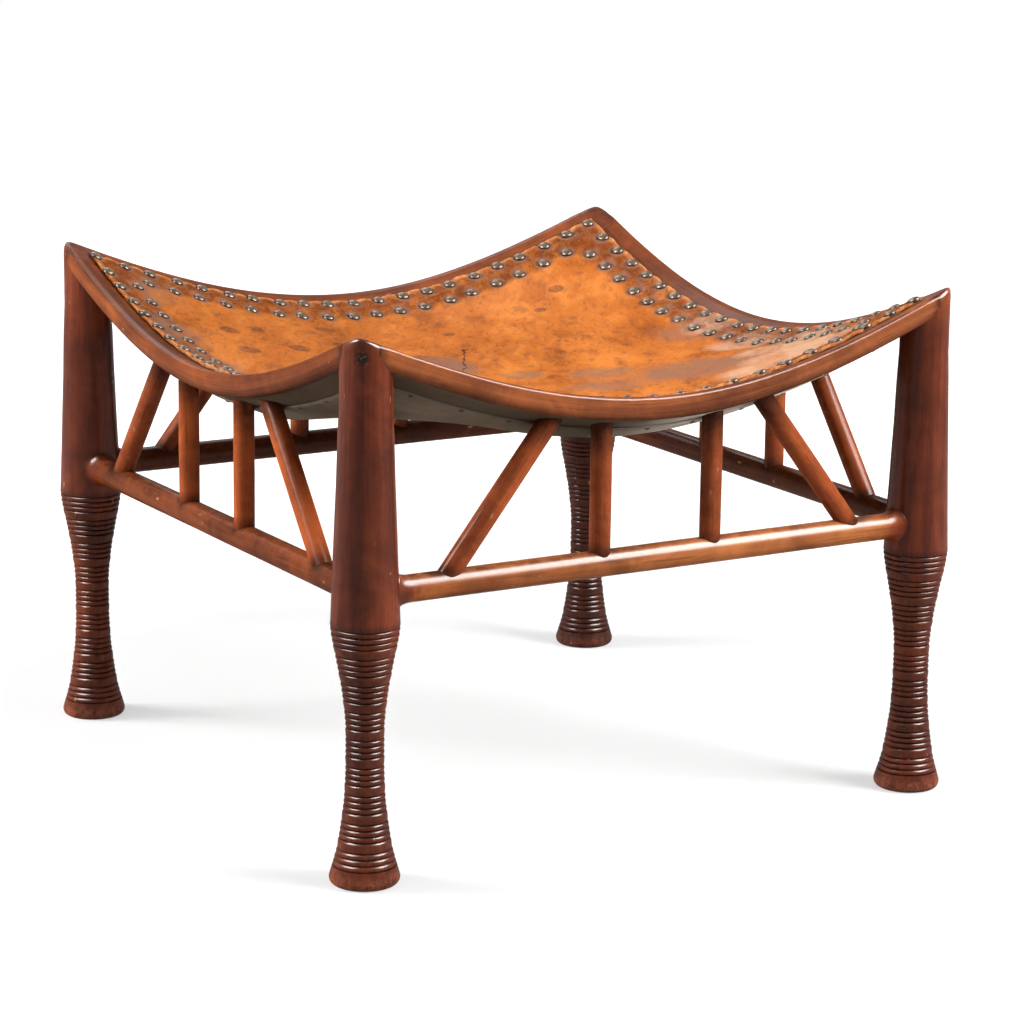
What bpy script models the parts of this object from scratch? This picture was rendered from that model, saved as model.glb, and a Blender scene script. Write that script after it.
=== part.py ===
"""Square stool: ring-turned legs, spindled sides and a dished leather seat.

Metres, +Z up. The origin is on the floor, in the middle of the four feet.
The front is -Y. The front side is modelled, and turned four times about Z.
"""

import math

import bmesh
import bpy
from mathutils import Matrix, Vector

# Overall frame
leg_axis_offset = 0.200
stretcher_height = 0.176

# The rim of a side is a hyperbola: low in the middle, with ends that rise almost straight
rim_middle_height = 0.278
rim_bend_height = 0.1148
rim_bend_length = 0.200

# Clearances
fit_clearance = 0.0003
cut_overrun = 0.004
merge_distance = 0.000002

# Edges sharper than this stay sharp in the shading
sharp_edge_degrees = 40
bead_edge_degrees = 30

# Foot of a leg
foot_base_radius = 0.0203
foot_radius = 0.0213
foot_edge_height = 0.0035
foot_top_radius = 0.0194
foot_height = 0.0115

# Turned rings of a leg, foot to top: three narrow beads, then a wide one, and so on
smooth_length_below_stretcher = 0.0188
bead_depth = 0.0008
narrow_beads_in_group = 3
wide_beads = 8
wide_to_narrow_ratio = 1.83
narrow_crown_shares = (0.5,)
wide_crown_shares = (0.25, 0.78)

# Outline over the rings, with its places as shares of their length from the foot up
lower_swell_share = 0.205
lower_swell_radius = 0.0136
waist_start_share = 0.402
waist_end_share = 0.539
waist_radius = 0.0114
upper_swell_share = 0.834
upper_swell_radius = 0.0164
ring_top_radius = 0.0205

# Upper length and head of a leg
upper_leg_radius = 0.0206
upper_leg_edge = 0.003
head_radius = 0.0155
head_base = 0.288
head_edge_drop = 0.0045
head_shoulder_share = 0.93
head_shoulder_drop = 0.0016
head_crown_share = 0.76
leg_segments = 12

# Seat rail section: setbacks run inwards from the outer face, drops run down from the rim
rail_width = 0.044
nose_setback = 0.005
nose_depth = 0.007
face_height = 0.0145
nose_steps = 2
outer_ridge_setback = 0.021
outer_ridge_drop = 0.0062
inner_ridge_setback = 0.0378
inner_ridge_drop = 0.0125
inner_edge_top_drop = 0.0147
inner_edge_bottom_drop = 0.0300
rail_end_gap = 0.0015
rail_stations = 21

# Rail tenon in the leg head
rail_tenon_width = 0.007
rail_tenon_height = 0.007
rail_tenon_depth = 0.0075
rail_tenon_drop = 0.0124

# Stretcher with flared ends
stretcher_radius = 0.0083
flare_length = 0.008
flare_rise = 0.0038
flare_steps = 3
stretcher_tenon_radius = 0.006
stretcher_tenon_depth = 0.012
stretcher_segments = 12

# Spindles and braces, at the middle plane of a side, with shares of the half width of the frame
spindle_radius = 0.0065
spindle_share = 0.2
brace_head_share = 0.3575
brace_foot_share = 0.7425
spindle_foot_rise = 0.0015
spindle_head_drop = 0.0110
spindle_segments = 10

# Leather seat
leather_edge_setback = 0.0175
leather_thickness = 0.0022
leather_lift = 0.0276
leather_cells = 12

# Canvas lining under the rails
lining_edge_setback = 0.0225
lining_thickness = 0.0012
lining_clearance = 0.0004
lining_lift = 0.0350
lining_cells = 12

rail_outer = leg_axis_offset + head_radius
rail_reach = leg_axis_offset - rail_end_gap
mitre_setback = rail_outer - rail_reach - fit_clearance / 2
ring_top = stretcher_height - smooth_length_below_stretcher
ring_length = ring_top - foot_height
narrow_bead_height = ring_length / (wide_beads * wide_to_narrow_ratio
                                    + (wide_beads + 1) * narrow_beads_in_group)
wide_bead_height = narrow_bead_height * wide_to_narrow_ratio
quarter_turn = math.pi / 2
sides = ("front", "right", "back", "left")
corners = ("front_right", "back_right", "back_left", "front_left")

finishes = {
    "leg_mahogany": ((0.115, 0.032, 0.017), 0.28),
    "rail_mahogany": ((0.215, 0.066, 0.026), 0.30),
    "stretcher_mahogany": ((0.270, 0.085, 0.032), 0.30),
    "spindle_mahogany": ((0.200, 0.050, 0.018), 0.26),
    "seat_leather": ((0.620, 0.250, 0.070), 0.50),
    "lining_canvas": ((0.155, 0.140, 0.105), 0.90),
}


def clear_scene():
    """Remove every object that the scene starts with."""
    for old in list(bpy.data.objects):
        bpy.data.objects.remove(old, do_unlink=True)


def finish_material(name, finish):
    """One Principled material from the table of finishes."""
    colour, roughness = finishes[finish]
    material = bpy.data.materials.new(name)
    material.use_nodes = True
    shader = material.node_tree.nodes["Principled BSDF"]
    shader.inputs["Base Color"].default_value = (*colour, 1.0)
    shader.inputs["Roughness"].default_value = roughness
    shader.inputs["Metallic"].default_value = 0.0
    material.diffuse_color = (*colour, 1.0)
    return material


def add_object(name, mesh, parent=None):
    """Link a mesh into the scene under a name."""
    piece = bpy.data.objects.new(name, mesh)
    bpy.context.scene.collection.objects.link(piece)
    piece.parent = parent
    return piece


def mesh_from(bm, name):
    """Turn a bmesh into a mesh whose faces point outwards."""
    bmesh.ops.recalc_face_normals(bm, faces=bm.faces)
    if bm.calc_volume(signed=True) < 0:
        bmesh.ops.reverse_faces(bm, faces=bm.faces)
    mesh = bpy.data.meshes.new(name)
    bm.to_mesh(mesh)
    bm.free()
    return mesh


def smooth(mesh, sharp_degrees=sharp_edge_degrees):
    """Shade a mesh smooth but for its sharp edges."""
    mesh.shade_smooth()
    mesh.set_sharp_from_angle(angle=math.radians(sharp_degrees))


def turned(outline, segments):
    """Turn an outline of (radius, height) points about Z into a closed bmesh."""
    bm = bmesh.new()
    points = [bm.verts.new((radius, 0, height)) for radius, height in outline]
    edges = [bm.edges.new(pair) for pair in zip(points, points[1:])]
    bmesh.ops.spin(bm, geom=points + edges, axis=(0, 0, 1), cent=(0, 0, 0),
                   angle=2 * math.pi, steps=segments, use_merge=True)
    bmesh.ops.remove_doubles(bm, verts=bm.verts, dist=merge_distance)
    return bm


def rod(radius, low, high, segments):
    """A plain round rod along Z, from low to high."""
    return turned([(0, low), (radius, low), (radius, high), (0, high)], segments)


def block(size, centre):
    """A square-edged block."""
    bm = bmesh.new()
    bmesh.ops.create_cube(bm, size=1)
    bmesh.ops.scale(bm, vec=size, verts=bm.verts)
    bmesh.ops.translate(bm, vec=centre, verts=bm.verts)
    return bm


def gathered(shapes, name):
    """Put several separate shapes, each with its place, into one mesh."""
    whole = bmesh.new()
    for shape, place in shapes:
        shape.transform(place)
        part = mesh_from(shape, name)
        whole.from_mesh(part)
        bpy.data.meshes.remove(part)
    mesh = bpy.data.meshes.new(name)
    whole.to_mesh(mesh)
    whole.free()
    return mesh


def combined(mesh, shapes, operation):
    """Cut shapes out of a mesh, or join them to it, with an exact Boolean."""
    target = add_object("boolean_target", mesh)
    cutter = add_object("boolean_cutter", gathered(shapes, "boolean_cutter"))
    cutter.hide_render = True
    cutter.display_type = "WIRE"
    modifier = target.modifiers.new("boolean", "BOOLEAN")
    modifier.operation = operation
    modifier.solver = "EXACT"
    modifier.object = cutter
    graph = bpy.context.evaluated_depsgraph_get()
    result = bpy.data.meshes.new_from_object(target.evaluated_get(graph))
    bpy.data.objects.remove(target)
    bpy.data.objects.remove(cutter)
    cleaned = bmesh.new()
    cleaned.from_mesh(result)
    bmesh.ops.remove_doubles(cleaned, verts=cleaned.verts, dist=merge_distance)
    cleaned.to_mesh(result)
    cleaned.free()
    return result


def towards(direction):
    """Turn a shape that lies along +Z so that it lies along a direction."""
    return Vector((0, 0, 1)).rotation_difference(Vector(direction)).to_matrix().to_4x4()


def between(knots, position):
    """Read a value between the two nearest of some (position, value) knots."""
    for (start, low), (end, high) in zip(knots, knots[1:]):
        if position <= end:
            share = max(0, (position - start) / (end - start))
            return low + share * (high - low)
    return knots[-1][1]


def rim_height(along):
    """Height of the rim above the floor, at a distance along a side from its middle."""
    rise = math.hypot(rim_bend_height, along * rim_bend_height / rim_bend_length)
    return rim_middle_height + rise - rim_bend_height


def slope_drop(setback):
    """How far the upper face of a rail lies below the rim."""
    return between(((nose_setback, 0), (outer_ridge_setback, outer_ridge_drop),
                    (inner_ridge_setback, inner_ridge_drop),
                    (rail_width, inner_edge_top_drop)), setback)


def under_drop(setback):
    """How far the underside of a rail lies below the rim."""
    return between(((nose_setback, face_height), (rail_width, inner_edge_bottom_drop)), setback)


def top_height(x, y):
    """Height of the upper face of the rails and leg heads, at a place seen from above."""
    setback = rail_outer - max(abs(x), abs(y))
    return rim_height(min(abs(x), abs(y))) - slope_drop(setback)


def crown_radius(height):
    """Radius over the crowns of the turned rings."""
    return between(((0, foot_top_radius), (lower_swell_share, lower_swell_radius),
                    (waist_start_share, waist_radius), (waist_end_share, waist_radius),
                    (upper_swell_share, upper_swell_radius),
                    (1, ring_top_radius)), (height - foot_height) / ring_length)


def bead(low, height, crown_shares):
    """Outline of one turned bead: its groove, then its crown."""
    points = [(crown_radius(low) - bead_depth, low)]
    for share in crown_shares:
        level = low + share * height
        points.append((crown_radius(level), level))
    return points


def ring_outline():
    """Groups of narrow beads with a wide bead between one group and the next."""
    points = []
    level = foot_height
    for group in range(wide_beads + 1):
        if group > 0:
            points += bead(level, wide_bead_height, wide_crown_shares)
            level += wide_bead_height
        for _ in range(narrow_beads_in_group):
            points += bead(level, narrow_bead_height, narrow_crown_shares)
            level += narrow_bead_height
    points.append((ring_top_radius - bead_depth, ring_top))
    return points


def upper_leg_radius_at(height):
    """The upper length of a leg tapers evenly to its head."""
    return between(((ring_top, upper_leg_radius), (head_base, head_radius)), height)


def foot_outline():
    """The foot flares down to a rounded edge and a flat base."""
    return [(0, 0), (foot_base_radius, 0),
            (foot_radius, foot_edge_height),
            (foot_top_radius, foot_height)]


def leg_outline():
    """The whole leg from the middle of its base to the middle of its head."""
    points = foot_outline() + ring_outline()
    points.append((ring_top_radius, ring_top))
    for level in (ring_top + upper_leg_edge, stretcher_height):
        points.append((upper_leg_radius_at(level), level))
    points.append((head_radius, head_base))
    for share in (1, head_shoulder_share, head_crown_share, 0):
        points.append((head_radius * share, rim_height(rail_outer)))
    return points


def shape_leg_head(bm):
    """Bring the top of a leg down to the slope of the rails, with a rounded edge."""
    drops = ((head_radius * head_crown_share, 0),
             (head_radius * head_shoulder_share, head_shoulder_drop),
             (head_radius, head_edge_drop))
    for vert in bm.verts:
        if vert.co.z > rim_height(rail_outer) - merge_distance:
            radius = math.hypot(vert.co.x, vert.co.y)
            height = top_height(leg_axis_offset + vert.co.x, leg_axis_offset - vert.co.y)
            vert.co.z = height - between(drops, radius)


def rail_tenon_level():
    """Level of the middle of a rail tenon, below the rim at the face of the leg."""
    return rim_height(leg_axis_offset - head_radius) - rail_tenon_drop


def leg_sockets():
    """What is cut out of a leg: two stretcher sockets and two rail mortises."""
    surface = upper_leg_radius_at(stretcher_height)
    inner = surface - stretcher_tenon_depth - fit_clearance
    mortise_inner = head_radius - rail_tenon_depth - fit_clearance
    mortise_outer = head_radius + cut_overrun
    mortise_size = (mortise_outer - mortise_inner,
                    rail_tenon_width + 2 * fit_clearance,
                    rail_tenon_height + 2 * fit_clearance)
    mortise_centre = (-(mortise_outer + mortise_inner) / 2, 0, rail_tenon_level())
    shapes = []
    for turn in (0, -quarter_turn):
        spun = Matrix.Rotation(turn, 4, "Z")
        socket = rod(stretcher_tenon_radius + fit_clearance, inner, surface + cut_overrun,
                     stretcher_segments)
        place = spun @ Matrix.Translation((0, 0, stretcher_height)) @ towards((-1, 0, 0))
        shapes.append((socket, place))
        shapes.append((block(mortise_size, mortise_centre), spun))
    return shapes


def leg_mesh():
    """The front right leg, upright on the origin."""
    bm = turned(leg_outline(), leg_segments)
    shape_leg_head(bm)
    mesh = combined(mesh_from(bm, "leg"), leg_sockets(), "DIFFERENCE")
    smooth(mesh, bead_edge_degrees)
    return mesh


def rail_section():
    """Section of a rail as (setback, drop) points, in two halves that part where the mitre starts."""
    outer = [(mitre_setback, slope_drop(mitre_setback))]
    for step in range(nose_steps + 1):
        angle = step * quarter_turn / nose_steps
        outer.append((nose_setback * (1 - math.sin(angle)), nose_depth * (1 - math.cos(angle))))
    for step in range(1, nose_steps + 1):
        angle = step * quarter_turn / nose_steps
        outer.append((nose_setback * (1 - math.cos(angle)),
                      nose_depth + (face_height - nose_depth) * math.sin(angle)))
    outer.append((mitre_setback, under_drop(mitre_setback)))
    inner = [(rail_width, inner_edge_bottom_drop), (rail_width, inner_edge_top_drop),
             (inner_ridge_setback, inner_ridge_drop), (outer_ridge_setback, outer_ridge_drop)]
    return outer, inner


def rail_body():
    """Loft the section along the dished rim, with ends inside the legs and mitred beyond them."""
    outer, inner = rail_section()
    bm = bmesh.new()
    rings = []
    for station in range(rail_stations):
        share = 2 * station / (rail_stations - 1) - 1
        ring = []
        for setback, drop in outer + inner:
            along = share * min(rail_reach, rail_outer - setback - fit_clearance / 2)
            ring.append(bm.verts.new((along, setback - rail_outer, rim_height(along) - drop)))
        rings.append(ring)
    for ring, following in zip(rings, rings[1:]):
        for index in range(len(ring)):
            bm.faces.new((ring[index - 1], ring[index], following[index], following[index - 1]))
    for ring in (rings[0], rings[-1]):
        bm.faces.new(ring[:len(outer)])
        bm.faces.new(ring[len(outer) - 1:] + ring[:1])
    bmesh.ops.triangulate(bm, faces=bm.faces, quad_method="SHORT_EDGE")
    return bm


def leg_clearance(low, high):
    """The space that a leg takes between two levels, with its clearance."""
    levels = [low, head_base, high] if low < head_base < high else [low, high]
    outline = [(0, low)]
    for level in levels:
        outline.append((upper_leg_radius_at(level) + fit_clearance, level))
    outline.append((0, high))
    return turned(outline, leg_segments)


def leg_copes(low, high):
    """The clearances of the two legs of the front side."""
    return [(leg_clearance(low, high),
             Matrix.Translation((side * leg_axis_offset, -leg_axis_offset, 0)))
            for side in (-1, 1)]


def spindle_lines():
    """Foot and head of each spindle and brace of the front side."""
    lines = {}
    for kind, foot_share, head_share in (("spindle", spindle_share, spindle_share),
                                         ("brace", brace_foot_share, brace_head_share)):
        for hand, sign in (("left", -1), ("right", 1)):
            foot_place = sign * foot_share * leg_axis_offset
            head_place = sign * head_share * leg_axis_offset
            head_height = rim_height(head_place) - spindle_head_drop
            foot = (foot_place, -leg_axis_offset, stretcher_height + spindle_foot_rise)
            head = (head_place, -leg_axis_offset, head_height)
            lines[kind + "_" + hand] = (Vector(foot), Vector(head))
    return lines


def spindle_sockets(at_head):
    """Cutters for the spindle ends, in the rail or in the stretcher."""
    shapes = []
    for foot, head in spindle_lines().values():
        length = (head - foot).length
        low, high = (length / 2, length + fit_clearance) if at_head else (-fit_clearance, length / 2)
        cutter = rod(spindle_radius + fit_clearance, low, high, spindle_segments)
        shapes.append((cutter, Matrix.Translation(foot) @ towards(head - foot)))
    return shapes


def rail_mesh():
    """The front rail: coped to the legs, tenoned into them and drilled for the spindles."""
    mesh = mesh_from(rail_body(), "rail")
    copes = leg_copes(head_base - rail_width, rim_height(rail_outer) + cut_overrun)
    mesh = combined(mesh, copes, "DIFFERENCE")
    tenon_start = head_radius + rail_tenon_depth
    tenon_end = head_radius - rail_tenon_depth
    size = (tenon_start - tenon_end, rail_tenon_width, rail_tenon_height)
    reach = leg_axis_offset - (tenon_start + tenon_end) / 2
    tenons = []
    for side in (-1, 1):
        centre = (side * reach, -leg_axis_offset, rail_tenon_level())
        tenons.append((block(size, centre), Matrix.Identity(4)))
    mesh = combined(mesh, tenons, "UNION")
    mesh = combined(mesh, spindle_sockets(True), "DIFFERENCE")
    smooth(mesh)
    return mesh


def stretcher_outline(surface):
    """Outline of a stretcher from its middle to the leg: a bar that flares at its end."""
    start = surface - flare_length
    half = []
    for step in range(flare_steps + 1):
        angle = step * quarter_turn / flare_steps
        half.append((stretcher_radius + flare_rise * (1 - math.cos(angle)),
                     start + flare_length * math.sin(angle)))
    half.append((stretcher_radius + flare_rise, surface + stretcher_radius))
    half.append((0, surface + stretcher_radius))
    return half


def stretcher_mesh():
    """The front stretcher: a flared bar, tenoned into the legs and drilled for the spindles."""
    surface = leg_axis_offset - upper_leg_radius_at(stretcher_height)
    half = stretcher_outline(surface)
    bar = turned([(radius, -level) for radius, level in reversed(half)] + half,
                 stretcher_segments)
    place = Matrix.Translation((0, -leg_axis_offset, stretcher_height)) @ towards((1, 0, 0))
    bar.transform(place)
    reach = stretcher_radius + flare_rise + cut_overrun
    copes = leg_copes(stretcher_height - reach, stretcher_height + reach)
    mesh = combined(mesh_from(bar, "stretcher"), copes, "DIFFERENCE")
    tenon_reach = surface + stretcher_tenon_depth
    tenon = rod(stretcher_tenon_radius, -tenon_reach, tenon_reach, stretcher_segments)
    mesh = combined(mesh, [(tenon, place)], "UNION")
    mesh = combined(mesh, spindle_sockets(False), "DIFFERENCE")
    smooth(mesh)
    return mesh


def spindle_mesh(name):
    """A spindle or brace, standing on the origin along Z."""
    foot, head = spindle_lines()[name]
    mesh = mesh_from(rod(spindle_radius, 0, (head - foot).length, spindle_segments), name)
    smooth(mesh)
    return mesh


def stretched_height(x, y, edge, lift):
    """Height of a sheet stretched across the square between four dished edges.

    Two rims carried across each other meet the four edges; the lift is added in the middle.
    """
    crossed = rim_height(x) + rim_height(y) - rim_height(edge)
    return crossed + lift * (1 - (x / edge) ** 2) * (1 - (y / edge) ** 2)


def leather_height(x, y):
    """Upper side of the leather: on the rails and leg heads, then dished between them."""
    edge = rail_outer - rail_width
    above = fit_clearance + leather_thickness
    if max(abs(x), abs(y)) >= edge:
        return top_height(x, y) + above
    return stretched_height(x, y, edge, leather_lift) - inner_edge_top_drop + above


def lining_height(x, y):
    """Upper side of the lining: under the rails, then hung between them."""
    edge = rail_outer - rail_width
    if max(abs(x), abs(y)) >= edge:
        drop = under_drop(rail_outer - max(abs(x), abs(y)))
        return rim_height(min(abs(x), abs(y))) - drop - lining_clearance
    drop = inner_edge_bottom_drop + lining_clearance
    return stretched_height(x, y, edge, lining_lift) - drop


def grid_lines(setbacks, cells):
    """Lines of a square grid: the given setbacks, then even cells across the opening."""
    inner_edge = rail_outer - setbacks[-1]
    outer_lines = [rail_outer - setback for setback in setbacks[:-1]]
    even_lines = [inner_edge * (2 * step / cells - 1) for step in range(cells + 1)]
    return [-line for line in outer_lines] + even_lines + outer_lines[::-1]


def sheet_mesh(name, lines, height, thickness):
    """A sheet on a square grid of lines, split along the mitres at its corners."""
    bm = bmesh.new()
    cells = len(lines) - 1
    grid = [[bm.verts.new((x, y, height(x, y))) for y in lines] for x in lines]
    for i in range(cells):
        for j in range(cells):
            low_low, low_high = grid[i][j], grid[i][j + 1]
            high_low, high_high = grid[i + 1][j], grid[i + 1][j + 1]
            if i == j:
                bm.faces.new((low_low, high_low, high_high))
                bm.faces.new((low_low, high_high, low_high))
            elif i + j == cells - 1:
                bm.faces.new((low_low, high_low, low_high))
                bm.faces.new((high_low, high_high, low_high))
            else:
                bm.faces.new((low_low, high_low, high_high, low_high))
    lower = bmesh.ops.extrude_face_region(bm, geom=bm.faces[:])["geom"]
    lower = [item for item in lower if isinstance(item, bmesh.types.BMVert)]
    bmesh.ops.translate(bm, vec=(0, 0, -thickness), verts=lower)
    mesh = mesh_from(bm, name)
    smooth(mesh)
    return mesh


def leather_mesh():
    """The leather seat."""
    setbacks = (leather_edge_setback, outer_ridge_setback, inner_ridge_setback, rail_width)
    lines = grid_lines(setbacks, leather_cells)
    return sheet_mesh("seat_leather", lines, leather_height, leather_thickness)


def lining_mesh():
    """The canvas lining, cut away round the legs."""
    lines = grid_lines((lining_edge_setback, rail_width), lining_cells)
    mesh = sheet_mesh("seat_lining", lines, lining_height, lining_thickness)
    low = head_base - rail_width
    high = rim_height(rail_outer)
    turn = Matrix.Rotation(2 * quarter_turn, 4, "Z")
    copes = leg_copes(low, high)
    copes += [(shape, turn @ place) for shape, place in leg_copes(low, high)]
    mesh = combined(mesh, copes, "DIFFERENCE")
    smooth(mesh)
    return mesh


def give_finish(piece, finish):
    """Give a piece a material of its own, on the object and not on the shared mesh."""
    if not piece.data.materials:
        piece.data.materials.append(None)
    slot = piece.material_slots[0]
    slot.link = "OBJECT"
    slot.material = finish_material(piece.name + "_" + finish, finish)


def build_legs():
    """Four legs, each turned so that its sockets face its neighbours."""
    mesh = leg_mesh()
    for index, corner in enumerate(corners):
        leg = add_object("leg_" + corner, mesh)
        leg.location = (Matrix.Rotation(index * quarter_turn, 4, "Z")
                        @ Vector((leg_axis_offset, -leg_axis_offset, 0)))
        leg.rotation_euler = (0, 0, index * quarter_turn)
        give_finish(leg, "leg_mahogany")


def build_sides():
    """Rail, stretcher, spindles and braces of each side."""
    rail = rail_mesh()
    stretcher = stretcher_mesh()
    spindles = {name: spindle_mesh(name) for name in spindle_lines()}
    for index, side in enumerate(sides):
        guide = add_object("guide_" + side, None)
        guide.rotation_euler = (0, 0, index * quarter_turn)
        give_finish(add_object("seat_rail_" + side, rail, guide), "rail_mahogany")
        give_finish(add_object("stretcher_" + side, stretcher, guide), "stretcher_mahogany")
        for name, (foot, head) in spindle_lines().items():
            piece = add_object(side + "_" + name, spindles[name], guide)
            piece.location = foot
            piece.rotation_mode = "QUATERNION"
            piece.rotation_quaternion = Vector((0, 0, 1)).rotation_difference(head - foot)
            give_finish(piece, "spindle_mahogany")


def build_seat():
    """The leather on the rails and the lining under them."""
    give_finish(add_object("seat_leather", leather_mesh()), "seat_leather")
    give_finish(add_object("seat_lining", lining_mesh()), "lining_canvas")


clear_scene()
build_legs()
build_sides()
build_seat()
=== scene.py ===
"""Looks of the square stool: turned mahogany legs, spindled sides and a nailed leather seat.

Metres, +Z up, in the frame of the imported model. The front is -Y.
Each side and each leg is made for the front, or the front right corner, and turned about Z.
"""

import math
import random

import bmesh
import bpy
from mathutils import Matrix, Vector, noise


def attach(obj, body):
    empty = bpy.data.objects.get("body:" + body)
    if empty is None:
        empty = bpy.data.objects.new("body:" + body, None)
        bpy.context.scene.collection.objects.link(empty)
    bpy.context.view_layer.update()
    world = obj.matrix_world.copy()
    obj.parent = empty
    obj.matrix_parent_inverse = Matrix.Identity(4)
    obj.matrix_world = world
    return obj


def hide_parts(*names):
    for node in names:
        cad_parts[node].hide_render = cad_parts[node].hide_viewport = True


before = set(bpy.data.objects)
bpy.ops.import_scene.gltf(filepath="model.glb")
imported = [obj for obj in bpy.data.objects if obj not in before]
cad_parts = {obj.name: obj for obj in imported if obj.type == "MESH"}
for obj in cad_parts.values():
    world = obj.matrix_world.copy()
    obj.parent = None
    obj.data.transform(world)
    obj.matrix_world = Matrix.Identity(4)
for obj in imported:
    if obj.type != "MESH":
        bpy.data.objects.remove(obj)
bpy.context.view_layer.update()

# Frame of the stool, as in the CAD
leg_axis = 0.200
stretcher_height = 0.176
rim_middle = 0.278
rim_bend = 0.1148
rim_bend_length = 0.200
head_radius = 0.0155
rail_outer = leg_axis + head_radius
rail_width = 0.044
opening_edge = rail_outer - rail_width
quarter = math.pi / 2
sides = ("front", "right", "back", "left")
corners = ("front_right", "back_right", "back_left", "front_left")

# Rail section, with setbacks from the outer face and drops from the rim
nose_setback = 0.005
nose_depth = 0.007
nose_squareness = 3.2
crest_squareness = 6.5
face_height = 0.0145
top_drop = 0.0147
under_drop = 0.0300
top_knots = ((nose_setback, 0.0), (0.021, 0.0062), (0.0378, 0.0125), (rail_width, top_drop))
under_knots = ((nose_setback, face_height), (rail_width, under_drop))
rail_end = leg_axis - 0.0004

# Leg outline
foot_height = 0.0115
ring_top = 0.1572
head_start = 0.2995
crown_knots = ((0.0, 0.0213), (0.0115, 0.0192), (0.0228, 0.0163), (0.0322, 0.0149),
               (0.0414, 0.0136), (0.0507, 0.0125), (0.060, 0.0119), (0.072, 0.0115),
               (0.096, 0.0115), (0.106, 0.0123), (0.115, 0.0134), (0.124, 0.0147),
               (0.133, 0.0164), (0.1423, 0.0182), (0.1514, 0.0200), (0.1572, 0.0206))
upper_knots = ((0.1572, 0.0206), (0.176, 0.0199), (0.20, 0.0189), (0.24, 0.0173),
               (0.27, 0.0164), (0.288, 0.0156), (0.34, 0.0155))
narrow_bead = 0.0035
wide_bead = 0.0064
bead_depth = 0.00125

# Stretchers and spindles
bar_radius = 0.0083
flare_length = 0.0085
flare_rise = 0.0038
spindle_radius = 0.0065
spindle_offset = 0.040
brace_head = 0.0715
brace_foot = 0.1485

# Leather, lining and nails
leather_edge = rail_outer - 0.0175
leather_thickness = 0.0022
leather_gap = 0.0003
leather_lift = 0.0276
lining_edge = rail_outer - 0.0225
lining_lift = 0.0350
lining_gap = 0.0004
lining_thickness = 0.0012
lining_corner = 0.0175
outer_row = rail_outer - 0.0210
inner_row = rail_outer - 0.0378
outer_nails = 20
inner_nails = 18
inner_row_reach = 0.1745
nail_radius = 0.0044
nail_dome = 0.0019
tack_row = rail_outer - 0.0245
tack_spacing = 0.033
tack_outline = ((0, 0.0006), (0.0014, 0.0006), (0.0018, 0.0), (0.0013, -0.0005), (0, -0.0007))


def between(knots, position):
    """Read a value off a list of (position, value) knots, on straight lines."""
    for (start, low), (end, high) in zip(knots, knots[1:]):
        if position <= end:
            return low + max(0.0, (position - start) / (end - start)) * (high - low)
    return knots[-1][1]


def softly(low, high, value):
    """Go smoothly from 0 at low to 1 at high."""
    share = min(1.0, max(0.0, (value - low) / (high - low)))
    return share * share * (3 - 2 * share)


def rim_height(along):
    """Height of the rim, at a distance along a side from its middle."""
    return rim_middle + rim_bend * (math.hypot(1, along / rim_bend_length) - 1)


def nose_drop(setback):
    """Drop of the rounded outer edge below the rim, near the outer face."""
    share = min(1.0, max(0.0, setback / nose_setback))
    return nose_depth * (1 - max(0.0, 1 - (1 - share) ** nose_squareness) ** (1 / nose_squareness))


def crisped(setback, drop, share):
    """A point of the rounded outer edge, moved out towards a crisper edge."""
    if setback >= nose_setback or drop >= nose_depth:
        return setback, drop
    out, up = 1 - setback / nose_setback, 1 - drop / nose_depth
    reach = (out ** crest_squareness + up ** crest_squareness) ** (-1 / crest_squareness)
    grow = 1 + share * (reach - 1)
    return nose_setback * (1 - out * grow), nose_depth * (1 - up * grow)


def top_height(x, y):
    """Upper faces of the rails and the leg heads, without the rounded outer edge."""
    setback = rail_outer - max(abs(x), abs(y))
    return rim_height(min(abs(x), abs(y))) - between(top_knots, setback)


def ripple(place, size, depth, seed=0.0):
    """A small smooth unevenness, the same each run."""
    return depth * noise.noise(Vector(place) / size + Vector((seed, 3.1 * seed, -seed)))


def turn_about(index):
    """The turn that brings the front side to another side."""
    return Matrix.Rotation(index * quarter, 4, "Z")


def layers_for(bm, names):
    """Number layers that the materials read, one value for each vertex."""
    return {name: bm.verts.layers.float.new(name) for name in names}


def grain_layer(bm):
    """Layer for a place inside the wood, with the grain along Z."""
    return bm.verts.layers.float_vector.new("grain_place")


def finished(name, bm, material, sharp, replaces=()):
    """Turn a bmesh into a piece that rides on the stool, smooth up to an angle in degrees."""
    bmesh.ops.recalc_face_normals(bm, faces=bm.faces)
    if bm.calc_volume(signed=True) < 0:
        bmesh.ops.reverse_faces(bm, faces=bm.faces)
    mesh = bpy.data.meshes.new(name)
    bm.to_mesh(mesh)
    bm.free()
    mesh.shade_smooth()
    mesh.set_sharp_from_angle(angle=math.radians(sharp))
    mesh.materials.append(material)
    piece = bpy.data.objects.new(name, mesh)
    bpy.context.scene.collection.objects.link(piece)
    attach(piece, "root")
    if replaces:
        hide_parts(*replaces)
    return piece


def turned(outline, segments):
    """Spin an outline of (radius, height) points about Z into a closed body."""
    bm = bmesh.new()
    points = [bm.verts.new((radius, 0, height)) for radius, height in outline]
    edges = [bm.edges.new(pair) for pair in zip(points, points[1:])]
    bmesh.ops.spin(bm, geom=points + edges, axis=(0, 0, 1), cent=(0, 0, 0),
                   angle=2 * math.pi, steps=segments, use_merge=True)
    bmesh.ops.remove_doubles(bm, verts=bm.verts, dist=0.000002)
    return bm


def gather(whole, body):
    """Move a small body into a bmesh that holds many."""
    mesh = bpy.data.meshes.new("body")
    body.to_mesh(mesh)
    body.free()
    whole.from_mesh(mesh)
    bpy.data.meshes.remove(mesh)


# Materials

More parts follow.
